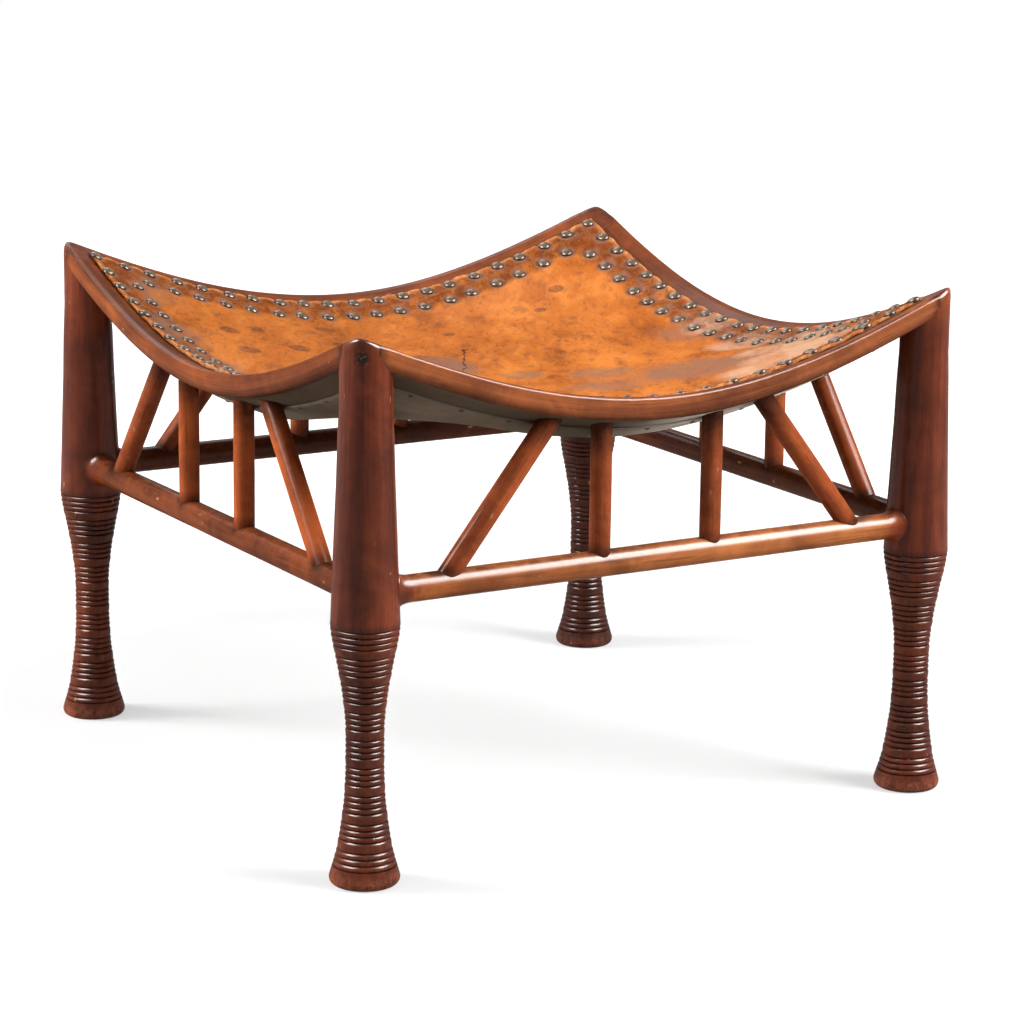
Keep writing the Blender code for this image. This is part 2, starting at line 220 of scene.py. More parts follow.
class Shade:
    """A material whose nodes are added one after another."""

    def __init__(self, name):
        self.material = bpy.data.materials.new(name)
        self.material.use_nodes = True
        self.tree = self.material.node_tree
        self.shader = self.tree.nodes["Principled BSDF"]

    def node(self, kind, settings=None, **inputs):
        """Add a node, with its settings and its inputs by name."""
        made = self.tree.nodes.new(kind)
        for key, value in (settings or {}).items():
            setattr(made, key, value)
        for key, value in inputs.items():
            self.put(made, key.replace("_", " "), value)
        return made

    def put(self, node, key, value):
        """Set an input to a value, or link it to an output."""
        socket = node.inputs[int(key)] if key.isdigit() else node.inputs[key]
        if isinstance(value, bpy.types.NodeSocket):
            self.tree.links.new(value, socket)
        else:
            socket.default_value = value

    def attribute(self, name, output="Fac"):
        """A value that the mesh carries."""
        return self.node("ShaderNodeAttribute", {"attribute_name": name}).outputs[output]

    def place(self):
        """Object coordinates."""
        return self.node("ShaderNodeTexCoord").outputs["Object"]

    def stretched(self, vector, scale):
        """A place with its axes scaled."""
        return self.node("ShaderNodeMapping", Vector=vector, Scale=scale).outputs["Vector"]

    def clouds(self, vector, scale, detail=3.0, roughness=0.55, distortion=0.0):
        """Smooth noise from 0 to 1."""
        made = self.node("ShaderNodeTexNoise", Vector=vector, Scale=scale, Detail=detail,
                         Roughness=roughness, Distortion=distortion)
        return made.outputs["Fac"]

    def steps(self, value, *stops):
        """A value as read off a ramp of (position, value) stops."""
        made = self.node("ShaderNodeValToRGB", Fac=value)
        ramp = made.color_ramp
        for index, (position, level) in enumerate(stops):
            stop = ramp.elements[index] if index < 2 else ramp.elements.new(position)
            stop.position = position
            stop.color = (level, level, level, 1)
        return made.outputs["Color"]

    def maths(self, operation, first, second=0.5, clamp=False):
        """One sum of two values."""
        made = self.node("ShaderNodeMath", {"operation": operation, "use_clamp": clamp})
        self.put(made, "0", first)
        self.put(made, "1", second)
        return made.outputs["Value"]

    def vectors(self, operation, first, second=(0, 0, 0), output="Value"):
        """One sum of two vectors."""
        made = self.node("ShaderNodeVectorMath", {"operation": operation})
        self.put(made, "0", first)
        self.put(made, "1", second)
        return made.outputs[output]

    def blend(self, share, first, second):
        """Mix two colours."""
        made = self.node("ShaderNodeMix", {"data_type": "RGBA"})
        self.put(made, "0", share)
        for key, colour in (("6", first), ("7", second)):
            self.put(made, key, colour if isinstance(colour, bpy.types.NodeSocket)
                     else (*colour, 1.0))
        return made.outputs[2]

    def over(self, base, share, strength, colour):
        """Lay a colour over a base, where a share says so."""
        return self.blend(self.maths("MULTIPLY", share, strength), base, colour)

    def bumped(self, height, strength, distance, under=None):
        """Turn heights into a bump, over another bump if there is one."""
        made = self.node("ShaderNodeBump", Height=height, Strength=strength, Distance=distance)
        if under is not None:
            self.put(made, "Normal", under)
        return made.outputs["Normal"]

    def frayed_share(self, name, at):
        """A value that the mesh carries, with its edge broken up by noise."""
        wander = self.maths("SUBTRACT", self.clouds(at, 55, 5, 0.72, 0.6), 0.5)
        wander = self.maths("MULTIPLY", wander, 1.3)
        return self.steps(self.maths("ADD", self.attribute(name), wander), (0.22, 0.0), (0.85, 1.0))

    def torn(self, at, wobble):
        """The fine crack in the hide, from 0 to 1: a wavering line between two places."""
        start, end = Vector((0.0205, 0.0700, 0)), Vector((-0.0315, -0.0105, 0))
        way = (end - start).normalized()
        offset = self.vectors("SUBTRACT", at, start, "Vector")
        along = self.vectors("DOT_PRODUCT", offset, way)
        aside = self.vectors("DOT_PRODUCT", offset, Vector((way.y, -way.x, 0)))
        drift = self.maths("MULTIPLY", self.maths("SUBTRACT", self.clouds(at, 45, 3, 0.6), 0.5), 0.022)
        across = self.maths("ABSOLUTE", self.maths("ADD", aside, drift))
        thin = self.steps(self.maths("DIVIDE", across, 0.0011), (0.35, 1.0), (0.85, 0.0))
        inside = self.maths("MULTIPLY", self.maths("GREATER_THAN", along, 0.0),
                            self.maths("LESS_THAN", along, (end - start).length))
        broken = self.steps(wobble, (0.36, 0.15), (0.50, 1.0))
        return self.maths("MULTIPLY", self.maths("MULTIPLY", thin, inside), broken)

    def finish(self, colour, roughness, normal=None, **fixed):
        """Give the shader its colour, roughness and bump, and its fixed values."""
        self.put(self.shader, "Base Color", colour)
        self.put(self.shader, "Roughness", roughness)
        if normal is not None:
            self.put(self.shader, "Normal", normal)
        for key, value in fixed.items():
            self.put(self.shader, key.replace("_", " "), value)
        return self.material


def mahogany(name, dark, light, gloss, varnish, haze, mark=None, other=None):
    """Old polished mahogany: streaks, pores, a patchy polish, worn edges, dirt, and painted shade where
    the mesh asks for it.

    A mark is a dark round spot, as its place and radius. The other tones are a dark and a light
    one, which show where the mesh asks for them.
    """
    s = Shade(name)
    at = s.place()
    wood = s.attribute("grain_place", "Vector")
    streaks = s.clouds(s.stretched(wood, (1, 1, 0.045)), 120, 5, 0.65, 0.4)
    bands = s.clouds(s.stretched(wood, (1, 1, 0.09)), 34, 3, 0.55, 0.8)
    fine = s.clouds(s.stretched(wood, (1, 1, 0.03)), 900, 2, 0.5)
    patches = s.clouds(at, 21, 4, 0.65, 0.5)
    figure = s.maths("ADD", s.maths("MULTIPLY", streaks, 0.5), s.maths("MULTIPLY", bands, 0.5))
    other_dark, other_light = other or (rail_dark, rail_light)
    tone = s.maths("MULTIPLY", s.attribute("other_tone"), 0.8)
    base = s.blend(s.steps(figure, (0.36, 0.0), (0.64, 1.0)), s.blend(tone, dark, other_dark),
                   s.blend(tone, light, other_light))
    pores = s.steps(fine, (0.30, 1.0), (0.42, 0.0))
    base = s.over(base, pores, 0.50, [c * 0.25 for c in dark])
    tired = s.steps(patches, (0.46, 0.0), (0.70, 1.0))
    base = s.over(base, tired, 0.60, [c * 0.45 for c in dark])
    fiery = s.steps(patches, (0.30, 1.0), (0.45, 0.0))
    base = s.over(base, fiery, 0.35, (light[0] * 1.5, light[1] * 1.35, light[2]))
    worn = s.maths("MULTIPLY", s.attribute("worn"), s.steps(s.clouds(at, 160, 3, 0.7),
                                                             (0.38, 0.0), (0.62, 1.0)))
    base = s.blend(worn, base, [min(1.0, c * 2.1 + 0.03) for c in light])
    dots = s.maths("MULTIPLY", s.attribute("worn"), s.steps(s.clouds(at, 1100, 2, 0.6),
                                                             (0.56, 0.0), (0.64, 1.0)))
    base = s.over(base, dots, 0.6, (0.36, 0.18, 0.09))
    # Dirt and painted shade, as the mesh carries them, darken the wood towards its darkest tone.
    grime_and_shade = s.maths("MULTIPLY", s.attribute("grime_and_shade"), s.steps(s.clouds(at, 210, 3, 0.65),
                                                              (0.25, 0.70), (0.60, 1.0)))
    base = s.blend(grime_and_shade, base, soot_and_shade)
    nicks = s.node("ShaderNodeTexVoronoi", {"feature": "F1"},
                   Vector=s.stretched(wood, (1, 1, 0.35)), Scale=170, Randomness=1.0)
    rare = s.maths("MULTIPLY", s.steps(nicks.outputs["Distance"], (0.10, 1.0), (0.17, 0.0)),
                   s.steps(s.clouds(at, 60, 2, 0.5), (0.60, 0.0), (0.64, 1.0)))
    base = s.over(base, rare, 0.60, (0.34, 0.17, 0.10))
    if mark:
        place, radius = mark
        away = s.vectors("DISTANCE", at, place)
        uneven = s.maths("MULTIPLY", s.clouds(at, 330, 3, 0.6), 0.006)
        near = s.steps(s.maths("DIVIDE", s.maths("ADD", away, uneven), radius), (0.60, 1.0), (1.0, 0.0))
        flecks = s.steps(s.clouds(at, 620, 2, 0.5), (0.60, 1.0), (0.66, 0.35))
        base = s.over(base, near, 0.9, s.blend(flecks, (0.20, 0.12, 0.09), soot_and_shade))
    rough = s.maths("ADD", s.maths("MULTIPLY", patches, 0.16), gloss - 0.08)
    rough = s.maths("ADD", rough, s.maths("MULTIPLY", s.attribute("grime_and_shade"), 0.20), clamp=True)
    height = s.maths("SUBTRACT", s.maths("MULTIPLY", streaks, 0.5), s.maths("MULTIPLY", pores, 0.5))
    height = s.maths("SUBTRACT", height, s.maths("MULTIPLY", rare, 0.8))
    normal = s.bumped(s.clouds(at, 45, 2, 0.5), 0.035, 0.002, s.bumped(height, 0.14, 0.0004))
    return s.finish(base, rough, normal, Specular_IOR_Level=0.0, Coat_Weight=varnish,
                    Coat_Roughness=haze)


def tan_leather():
    """Old tan hide: mottled, crackled between the nail rows, grey where worn, with painted sheen as a
    paler colour on a few patches.
    """
    s = Shade("tan_hide")
    at = s.place()
    turned_hide = s.node("ShaderNodeMapping", Vector=at, Rotation=(0, 0, math.radians(30.7)))
    spine = s.stretched(turned_hide.outputs["Vector"], (1, 0.45, 1))
    broad = s.clouds(spine, 9, 5, 0.62, 0.3)
    cloudy = s.clouds(spine, 34, 5, 0.68, 0.2)
    blots = s.clouds(spine, 80, 5, 0.66, 0.1)
    specks = s.clouds(spine, 270, 4, 0.65)
    grainy = s.clouds(at, 950, 3, 0.6)
    base = s.blend(s.steps(broad, (0.32, 0.0), (0.68, 1.0)),
                   (0.438, 0.114, 0.017), (0.645, 0.195, 0.038))
    base = s.over(base, s.steps(cloudy, (0.52, 0.0), (0.66, 1.0)), 0.60,
                  (0.760, 0.255, 0.051))
    base = s.over(base, s.steps(cloudy, (0.34, 1.0), (0.48, 0.0)), 0.65,
                  (0.235, 0.056, 0.011))
    base = s.over(base, s.steps(blots, (0.54, 0.0), (0.68, 1.0)), 0.60,
                  (0.200, 0.066, 0.028))
    scattered = s.maths("MULTIPLY", s.steps(specks, (0.54, 0.0), (0.64, 1.0)),
                        s.steps(cloudy, (0.42, 1.0), (0.62, 0.25)))
    base = s.over(base, scattered, 0.60, (0.150, 0.050, 0.026))
    pale_grain = s.steps(grainy, (0.55, 0.0), (0.70, 1.0))
    base = s.over(base, pale_grain, 0.35, (0.740, 0.290, 0.085))
    stain = s.maths("MULTIPLY", s.frayed_share("stain", at), s.steps(specks, (0.30, 0.45), (0.60, 1.0)))
    base = s.over(base, stain, 0.75, (0.120, 0.048, 0.026))
    band = s.attribute("band")
    ragged = s.maths("MULTIPLY", band, s.steps(s.clouds(at, 110, 6, 0.82, 0.8), (0.42, 0.05), (0.56, 1.0)))
    base = s.over(base, ragged, 0.78, (0.230, 0.052, 0.014))
    shaken = s.blend(0.06, at, s.node("ShaderNodeTexNoise", Vector=at, Scale=120).outputs["Color"])
    cracks = s.node("ShaderNodeTexVoronoi", {"feature": "DISTANCE_TO_EDGE"}, Vector=shaken, Scale=420,
                    Randomness=1.0)
    lines = s.maths("MULTIPLY", s.steps(cracks.outputs["Distance"], (0.03, 1.0), (0.16, 0.0)),
                    s.maths("MULTIPLY", band, s.steps(blots, (0.38, 0.15), (0.50, 1.0))))
    base = s.over(base, lines, 0.85, (0.070, 0.016, 0.006))
    worn = s.maths("MULTIPLY", s.frayed_share("worn", spine),
                   s.steps(s.clouds(at, 38, 5, 0.7, 0.8), (0.30, 0.35), (0.48, 1.0)))
    base = s.over(base, worn, 0.82, (0.285, 0.140, 0.090))
    # Painted sheen: a paler, greyer colour over the patches on the right slope of the seat.
    painted_sheen = s.maths("MULTIPLY", s.frayed_share("painted_sheen", spine),
                   s.steps(s.clouds(spine, 42, 5, 0.7, 0.6), (0.34, 0.35), (0.54, 1.0)))
    base = s.over(base, painted_sheen, 0.82, (0.690, 0.420, 0.270))
    edge = s.attribute("cut_edge")
    frayed = s.blend(s.steps(specks, (0.35, 0.0), (0.65, 1.0)),
                     (0.420, 0.130, 0.040), (0.780, 0.340, 0.130))
    base = s.blend(edge, base, frayed)
    base = s.over(base, s.torn(at, specks), 0.9, (0.030, 0.012, 0.008))
    rough = s.maths("ADD", s.maths("MULTIPLY", cloudy, 0.22), 0.36)
    rough = s.maths("SUBTRACT", rough, s.maths("MULTIPLY", worn, 0.08))
    rough = s.maths("ADD", rough, s.maths("MULTIPLY", edge, 0.30), clamp=True)
    height = s.maths("ADD", s.maths("MULTIPLY", grainy, 0.35), s.maths("MULTIPLY", specks, 0.60))
    height = s.maths("SUBTRACT", height, s.maths("MULTIPLY", lines, 0.9))
    normal = s.bumped(blots, 0.22, 0.0014, s.bumped(height, 0.40, 0.0006))
    return s.finish(base, rough, normal, Specular_IOR_Level=0.0, Coat_Weight=0.035,
                    Coat_Roughness=0.28)


def old_canvas(name, dark, light):
    """Grey-brown canvas with a plain weave and old stains, and painted light as a paler patch round one
    place.
    """
    s = Shade(name)
    at = s.place()
    warp = s.node("ShaderNodeTexWave", {"bands_direction": "X"}, Vector=at, Scale=520, Distortion=0.6)
    weft = s.node("ShaderNodeTexWave", {"bands_direction": "Y"}, Vector=at, Scale=520, Distortion=0.6)
    weave = s.maths("MULTIPLY", warp.outputs["Fac"], weft.outputs["Fac"])
    stains = s.clouds(at, 11, 4, 0.6)
    base = s.blend(s.steps(stains, (0.35, 0.0), (0.68, 1.0)), dark, light)
    # Painted light: the canvas is paler round one place.
    away = s.vectors("DISTANCE", at, painted_light_place)
    ragged = s.maths("ADD", away, s.maths("MULTIPLY", s.clouds(at, 30, 4, 0.6), 0.05))
    painted_light = s.steps(s.maths("DIVIDE", ragged, 0.2), (0.30, 0.9), (0.62, 0.0))
    base = s.blend(painted_light, base, (0.740, 0.640, 0.530))
    base = s.over(base, weave, 0.25, (0.30, 0.26, 0.21))
    rough = s.maths("ADD", s.maths("MULTIPLY", stains, 0.10), 0.82)
    return s.finish(base, rough, s.bumped(weave, 0.4, 0.0004), Specular_IOR_Level=0.0)


def aged_metal(name, dark, bright, roughness, bare):
    """Tarnished metal of the nails and tacks, rubbed bright on their crowns."""
    s = Shade(name)
    at = s.place()
    rubbed = s.maths("MULTIPLY", s.attribute("worn"), s.steps(s.clouds(at, 240, 3, 0.6),
                                                              (0.30, 0.25), (0.62, 1.0)))
    tarnish = s.clouds(at, 420, 4, 0.7)
    base = s.blend(rubbed, dark, bright)
    base = s.over(base, s.steps(tarnish, (0.52, 0.0), (0.68, 1.0)), 0.5,
                  [c * 0.3 for c in dark])
    rough = s.maths("ADD", s.maths("MULTIPLY", tarnish, 0.20), roughness - 0.08)
    return s.finish(base, rough, s.bumped(tarnish, 0.12, 0.0004), Metallic=bare,
                    Specular_IOR_Level=0.05)


# Colours in linear light, and the materials made from them
# The darkest tone, for dirt and for painted shade
soot_and_shade = (0.010, 0.0045, 0.003)
rail_dark = (0.085, 0.0185, 0.0050)
rail_light = (0.250, 0.062, 0.015)
# Middle of the painted light on the lining
painted_light_place = Vector((0.065, -0.185, 0.245))
peg_mark = (Vector((-0.2093, -0.2124, 0.3173)), 0.0085)
leg_dark = (0.054, 0.0088, 0.0032)
leg_light = (0.176, 0.0360, 0.0120)
leg_wood = mahogany("leg_mahogany", leg_dark, leg_light, 0.25, 0.22, 0.26, mark=peg_mark)
rail_wood = mahogany("rail_mahogany", rail_dark, rail_light, 0.28, 0.13, 0.28)
front_rail_wood = mahogany("front_rail_mahogany", (0.096, 0.0255, 0.0108), (0.322, 0.0940, 0.0310),
                           0.24, 0.13, 0.24)
bar_wood = mahogany("stretcher_mahogany", (0.062, 0.0130, 0.0036), (0.172, 0.0395, 0.0100),
                    0.22, 0.15, 0.24, other=(leg_dark, leg_light))
# The front stretcher's wood is a lighter copy of the stretcher wood: painted light.
front_bar_painted_light_wood = mahogany("front_stretcher_painted_light_mahogany", (0.150, 0.037, 0.009), (0.430, 0.138, 0.041),
                          0.22, 0.20, 0.29, other=(leg_dark, (0.230, 0.040, 0.011)))
spindle_wood = mahogany("spindle_mahogany", (0.108, 0.0215, 0.0072), (0.292, 0.0670, 0.0200),
                        0.26, 0.075, 0.27, other=((0.190, 0.036, 0.010), (0.520, 0.115, 0.026)))
hide = tan_leather()
canvas = old_canvas("lining_canvas", (0.105, 0.076, 0.050), (0.230, 0.178, 0.126))
under_canvas = old_canvas("edge_canvas", (0.075, 0.050, 0.030), (0.120, 0.086, 0.056))
nail_metal = aged_metal("bronzed_nail", (0.056, 0.037, 0.025), (0.140, 0.098, 0.066), 0.25, 0.12)
tack_metal = aged_metal("dark_tack", (0.075, 0.054, 0.036), (0.110, 0.082, 0.056), 0.50, 0.05)


# Camera, from the photograph's own view

def axes_of_view(azimuth, elevation, roll):
    """Right, up and forward of a camera, from its angles in degrees."""
    a, e, r = (math.radians(angle) for angle in (azimuth, elevation, roll))
    forward = Vector((-math.sin(a) * math.cos(e), math.cos(a) * math.cos(e), -math.sin(e)))
    level = forward.cross(Vector((0, 0, 1))).normalized()
    upright = level.cross(forward)
    right = math.cos(r) * level + math.sin(r) * upright
    up = -math.sin(r) * level + math.cos(r) * upright
    return right, up, forward


def add_camera():
    """The camera of the photograph."""
    right, up, forward = axes_of_view(-30.679, 12.965, 0.7705)
    data = bpy.data.cameras.new("camera")
    data.sensor_width = 36.0
    focal_length, photo_width = 3275.6, 1024
    data.lens = focal_length / photo_width * data.sensor_width
    data.shift_x = -0.00104
    data.clip_start, data.clip_end = 0.05, 60
    camera = bpy.data.objects.new("camera", data)
    matrix = Matrix((right, up, -forward)).transposed().to_4x4()
    camera.matrix_world = Matrix.Translation((-1.0670, -1.8282, 0.6503)) @ matrix
    bpy.context.scene.collection.objects.link(camera)
    bpy.context.scene.camera = camera


# Legs

def bead_points(low, height, shape):
    """Outline of one bead over the envelope of the rings, from groove to crown to groove."""
    points = []
    for share, lift in shape:
        level = low + share * height
        points.append((between(crown_knots, level) - bead_depth * (1 - lift), level))
    return points


def round_shape(steps):
    """A half-round bead."""
    shape = []
    for step in range(steps):
        share = step / steps
        shape.append((share, math.sqrt(1 - (2 * share - 1) ** 2)))
    return shape


def broad_shape():
    """A wide bead: a flat that follows the outline, and a rounded upper shoulder."""
    return [(0.0, 0.0), (0.04, 0.55), (0.10, 0.80), (0.20, 0.91), (0.35, 0.95), (0.50, 1.00),
            (0.60, 1.06), (0.68, 1.08), (0.76, 1.04), (0.83, 0.95), (0.89, 0.80), (0.94, 0.58),
            (0.98, 0.28)]


def leg_outline():
    """The leg from the middle of its foot to the middle of its head, with rounded edges."""
    points = [(0, 0), (0.0175, 0), (0.0192, 0.0004), (0.0203, 0.0013), (0.0209, 0.0024),
              (0.0212, 0.0038), (0.0211, 0.0050)]
    points += [(0.0211 - 0.0018 * share, 0.0050 + 0.0063 * share) for share in (0.25, 0.5, 0.75, 1)]
    level = foot_height
    narrow, broad = round_shape(8), broad_shape()
    for group in range(9):
        if group:
            points += bead_points(level, wide_bead, broad)
            level += wide_bead
        for _ in range(3):
            points += bead_points(level, narrow_bead, narrow)
            level += narrow_bead
    points += [(0.0198, ring_top - 0.0002), (0.0201, ring_top + 0.0001), (0.0205, ring_top + 0.0005),
               (0.0206, ring_top + 0.0012)]
    points += [(between(upper_knots, level / 1000), level / 1000) for level in range(162, 300, 6)]
    top = rim_height(rail_outer)
    points += [(head_radius, level) for level in (0.300, 0.304, 0.308, 0.312, top)]
    for setback in (0.0003, 0.0008, 0.0016, 0.0026, 0.0038, 0.0050, 0.0075, 0.0105, 0.0135):
        points.append((head_radius - setback, top))
    points += [(0.0, top)]
    return points


def head_height(x, y):
    """Top of a leg head in the front right corner, given a place from the leg's axis."""
    height = top_height(leg_axis + x, leg_axis - y)
    outwards = math.hypot(max(0.0, x), max(0.0, -y))
    return height - nose_drop(head_radius - outwards) + 0.00006


# How far each leg head takes on the tone of the rails
head_tone = {"front_right": 0.75, "back_right": 0.95, "back_left": 0.55, "front_left": 0.20}


def make_leg(index, corner):
    """One leg, with its rings, its dirt, painted shade on the back right leg, and its wear."""
    bm = turned(leg_outline(), 80)
    top = rim_height(rail_outer)
    values = layers_for(bm, ("grime_and_shade", "worn", "other_tone"))
    grain = grain_layer(bm)
    for vert in bm.verts:
        x, y, z = vert.co
        radius = math.hypot(x, y)
        if z > top - 0.000001:
            z = vert.co.z = head_height(x, y)
        elif z > head_start:
            share = (z - head_start) / (top - head_start)
            z = vert.co.z = head_start + share * (head_height(x, y) - head_start)
        vert[grain] = Vector((x, y, z)) + Vector((0.31, 0.17, 0.53)) * (index + 1)
        grime_and_shade = worn = 0.0
        if foot_height <= z <= ring_top:
            depth = (between(crown_knots, z) - radius) / bead_depth
            grime_and_shade = 0.34 + 0.61 * softly(0.15, 0.80, depth)
            worn = 0.12 * softly(0.25, 0.0, depth)
        elif z < foot_height:
            worn = 0.12 + 0.42 * softly(0.011, 0.004, z) * softly(0.018, 0.021, radius)
            grime_and_shade = 0.30 + 0.50 * softly(0.0022, 0.0004, z)
        else:
            grime_and_shade = 0.7 * softly(0.0035, 0.0, z - ring_top)
        for to_side in (Vector((-1, 0)), Vector((0, 1))):
            if x * to_side.x + y * to_side.y > 0:
                off = math.hypot(x * to_side.y + y * to_side.x, z - stretcher_height)
                grime_and_shade = max(grime_and_shade, 0.30 * softly(0.0150, 0.0120, off))
        # Painted shade: the back right leg is darkened below the rails.
        if corner == "back_right":
            grime_and_shade = max(grime_and_shade, 0.80 * softly(0.29, 0.24, z))
        below_rim = rim_height(leg_axis) - z
        vert[values["other_tone"]] = head_tone[corner] * softly(0.026, 0.010, below_rim)
        vert[values["grime_and_shade"]] = grime_and_shade
        vert[values["worn"]] = worn
        if radius > 0.001 and 0.16 < z < 0.29:
            swell = ripple((x, y, z), 0.03, 0.00018, index + 1.0)
            vert.co.x += x / radius * swell
            vert.co.y += y / radius * swell
    bm.transform(turn_about(index) @ Matrix.Translation((leg_axis, -leg_axis, 0)))
    return finished("turned_leg_" + corner, bm, leg_wood, 50, ["leg_" + corner])


# Seat rails

def rail_section():
    """Section of a rail as (setback, drop) points, from the top face round the outer face."""
    section = [(rail_width, top_drop), (0.0378, 0.0125), (0.030, 0.0096), (0.021, 0.0062),
               (0.016, 0.00426), (0.011, 0.00232), (0.0075, 0.00097)]
    for step in range(13):
        angle = step * quarter / 12
        section.append((nose_setback * (1 - math.sin(angle) ** (2 / nose_squareness)),
                        nose_depth * (1 - max(0.0, math.cos(angle)) ** (2 / nose_squareness))))
    for step in range(1, 8):
        angle = step * quarter / 7
        section.append((nose_setback * (1 - math.cos(angle)),
                        nose_depth + (face_height - nose_depth) * math.sin(angle)))
    for share in (0.08, 0.2, 0.35, 0.5, 0.75, 1.0):
        setback = nose_setback + share * (rail_width - nose_setback)
        section.append((setback, between(under_knots, setback)))
    return section


def make_rail(index, side):
    """One dished seat rail, mitred to its neighbours inside the leg heads."""
    section = rail_section()
    bm = bmesh.new()
    first = [bm.verts.new((-1, -setback, -drop)) for setback, drop in section]
    edges = [bm.edges.new((first[k - 1], first[k])) for k in range(len(first))]
    stations = 120
    bmesh.ops.spin(bm, geom=first + edges, axis=(0, 0, 1), cent=(0, 0, 0),
                   dvec=(2 / stations, 0, 0), angle=0, steps=stations)
    open_edges = [edge for edge in bm.edges if len(edge.link_faces) == 1]
    bmesh.ops.holes_fill(bm, edges=open_edges, sides=0)
    values = layers_for(bm, ("grime_and_shade", "worn"))
    grain = grain_layer(bm)
    for vert in bm.verts:
        share, setback, drop = vert.co.x, -vert.co.y, -vert.co.z
        # The last section but one is close to the end, for a thin dark line at the leg
        if 0.98 < abs(share) < 0.999:
            share = math.copysign(0.9935, share)
        along = share * min(rail_end, rail_outer - setback)
        from_axis = leg_axis - abs(along)
        setback, drop = crisped(setback, drop, softly(0.0, 0.005, from_axis))
        z = rim_height(along) - drop
        uneven = ripple((along, setback, 0), 0.07, 0.00022, index + 0.5) * softly(0.016, 0.05, from_axis)
        vert.co = (along, setback - rail_outer, z + uneven)
        vert[grain] = Vector((setback, drop, along)) + Vector((0.23, 0.71, 0.37)) * (index + 1)
        to_leg = math.hypot(from_axis, setback - head_radius) - head_radius
        grime_and_shade = 0.45 * softly(0.0012, 0.0, to_leg)
        # Painted shade: the outer face darkens towards its lower edge, where it turns under.
        grime_and_shade = max(grime_and_shade, 0.50 * softly(0.006, 0.0145, drop) * softly(0.012, 0.004, setback))
        if setback < head_radius:
            grime_and_shade = max(grime_and_shade, 0.95 * softly(0.0030, 0.0012, from_axis))
        mitre = abs(from_axis - setback + head_radius)
        if setback > head_radius:
            grime_and_shade = max(grime_and_shade, 0.8 * softly(0.0009, 0.0, mitre))
        # Painted shade on the top face, beside and under the leather's edge.
        if 0.0140 < setback < 0.022 and drop < 0.010:
            grime_and_shade = max(grime_and_shade, 0.10 * softly(0.0158, 0.0174, setback))
        vert[values["grime_and_shade"]] = grime_and_shade
        vert[values["worn"]] = 0.06 * softly(0.003, 0.0, abs(setback - 0.005)) if drop < 0.006 else 0.0
    for face in bm.faces:
        centre = face.calc_center_median()
        if centre.y > 0.0058 - rail_outer and centre.z < rim_height(centre.x) - face_height:
            face.material_index = 1
    bm.transform(turn_about(index))
    wood = front_rail_wood if side == "front" else rail_wood
    rail = finished("dished_rail_" + side, bm, wood, 50, ["seat_rail_" + side])
    rail.data.materials.append(under_canvas)
    return rail


# Stretchers, spindles and braces

def make_stretcher(index, side):
    """One round stretcher, with ends that flare onto the legs."""
    leg_radius = between(upper_knots, stretcher_height)
    surface = leg_axis - leg_radius
    half = [(bar_radius, level / 1000) for level in range(3, 170, 6)]
    half = [point for point in half if point[1] < surface - flare_length - 0.001]
    for step in range(11):
        angle = step * quarter / 10
        half.append((bar_radius + flare_rise * (1 - math.cos(angle)),
                     surface - flare_length + flare_length * math.sin(angle)))
    half += [(bar_radius + flare_rise + 0.0004, surface + 0.004), (0.0, surface + 0.004)]
    bm = turned([(radius, -level) for radius, level in reversed(half)] + half, 48)
    values = layers_for(bm, ("grime_and_shade", "worn", "other_tone"))
    grain = grain_layer(bm)
    feet = [spindle_offset, -spindle_offset, brace_foot, -brace_foot]
    for vert in bm.verts:
        across, up, along = vert.co
        radius = math.hypot(across, up)
        wobble = 1 + ripple((0, 0, along), 0.045, 0.012, index + 2.0)
        flare = softly(surface - flare_length, surface, abs(along))
        reach = leg_radius - math.sqrt(max(0.0, leg_radius ** 2 - across ** 2))
        x = along + math.copysign(flare * reach, along)
        vert.co = (x, across * wobble, up * wobble)
        vert[grain] = Vector((across, up, along)) + Vector((0.41, 0.29, 0.83)) * (index + 1)
        grime_and_shade = 0.35 * softly(surface - 0.0012, surface - 0.0002, abs(along))
        # Painted shade: the back and right stretchers are darkened all along.
        grime_and_shade = max(grime_and_shade, {"back": 0.45, "right": 0.42}.get(side, 0.0))
        vert[values["other_tone"]] = 1.25 * softly(surface - 0.016, surface - 0.003, abs(along))
        for foot in feet:
            if up > 0:
                reach_to_foot = math.hypot((along - foot) * (1.0 if abs(foot) < 0.1 else 0.62), across)
                grime_and_shade = max(grime_and_shade, 0.75 * softly(spindle_radius + 0.0022, spindle_radius, reach_to_foot))
        vert[values["grime_and_shade"]] = grime_and_shade
        vert[values["worn"]] = 0.16 * softly(0.2, 0.9, up / bar_radius)
    bm.transform(turn_about(index) @ Matrix.Translation((0, -leg_axis, stretcher_height)))
    # The front stretcher takes the lighter copy of the wood, which is painted light.
    wood = front_bar_painted_light_wood if side == "front" else bar_wood
    return finished("round_stretcher_" + side, bm, wood, 50, ["stretcher_" + side])


